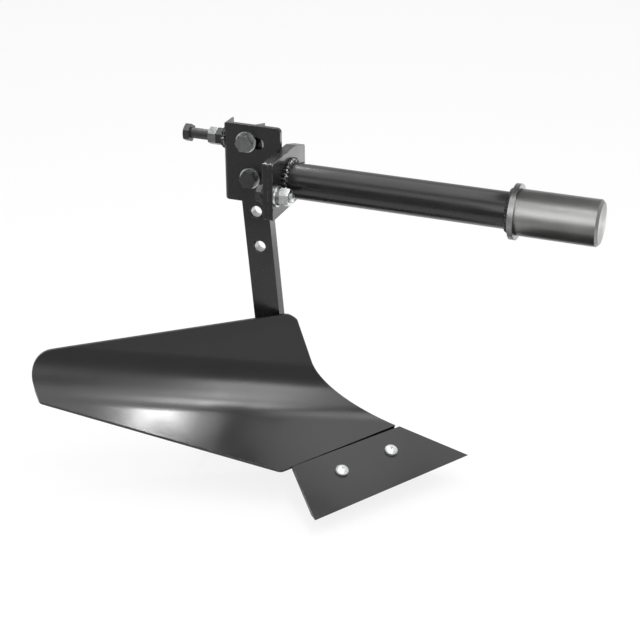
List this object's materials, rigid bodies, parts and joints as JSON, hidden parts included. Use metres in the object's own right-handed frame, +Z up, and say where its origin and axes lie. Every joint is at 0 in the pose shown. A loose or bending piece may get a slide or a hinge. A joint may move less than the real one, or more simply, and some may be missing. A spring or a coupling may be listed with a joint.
{
  "type": "tiller plough",
  "caption": "Right-hand plough bottom on a tube beam with a machined coupling spigot, swivel plates, and a drilled leg whose pitch is set by a long screw.",
  "frame": {"origin": "on the beam axis, at the front face of the coupling collar", "axes": "+X forward along the spigot and the line of travel, +Y to the left (the landside), +Z up"},
  "size_m": [0.614, 0.2131, 0.4067],
  "materials": {
    "black_paint": "gloss",
    "zinc": "bright zinc plating",
    "machined_steel": "turned",
    "black_oxide": "satin black oxide"
  },
  "bodies": {
    "beam": {"coupling_spigot": "machined_steel", "coupling_weld": "black_paint", "beam_tube": "black_paint", "tube_weld": "black_paint", "tube_plate": "black_paint", "swivel_bolts": "black_oxide", "swivel_washers": "zinc", "swivel_spring_washers": "zinc", "swivel_nuts": "zinc"},
    "head": {"head_plate": "black_paint", "bracket": "black_paint", "bracket_weld": "black_paint", "screw_boss": "black_paint", "lock_nut": "zinc", "pivot_bolt": "black_oxide", "pivot_washers": "zinc", "pivot_nut": "zinc"},
    "screw": {"adjusting_screw": "black_oxide"},
    "plough": {"leg": "black_paint", "leg_weld": "black_paint", "landside": "black_paint", "gusset": "black_paint", "frog_plate": "black_paint", "mouldboard": "black_paint", "board_weld": "black_paint", "mouldboard_stay": "black_paint", "share": "black_paint", "share_bolts": "zinc", "share_spring_washers": "zinc", "share_nuts": "zinc", "slot_bolt": "zinc", "slot_washers": "zinc", "slot_nut": "zinc"}
  },
  "joints": [
    {"name": "swivel", "type": "hinge", "parent": "beam", "child": "head", "pos_m": [-0.266, -0.038, -0.005], "axis": [1, 0, 0], "range_deg": [-8, 8]},
    {"name": "pitch", "type": "hinge", "parent": "head", "child": "plough", "pos_m": [-0.3086, 0.0136, -0.0049], "axis": [0, 1, 0], "range_deg": [-1.5, 17.5]},
    {"name": "screw_feed", "type": "slide", "parent": "head", "child": "screw", "axis": [1, 0, 0], "range_m": [-0.0012, 0.0122]}
  ],
  "couplings": [
    {"joint": "screw_feed", "follows": "pitch", "m_per_rad": 0.039}
  ]
}
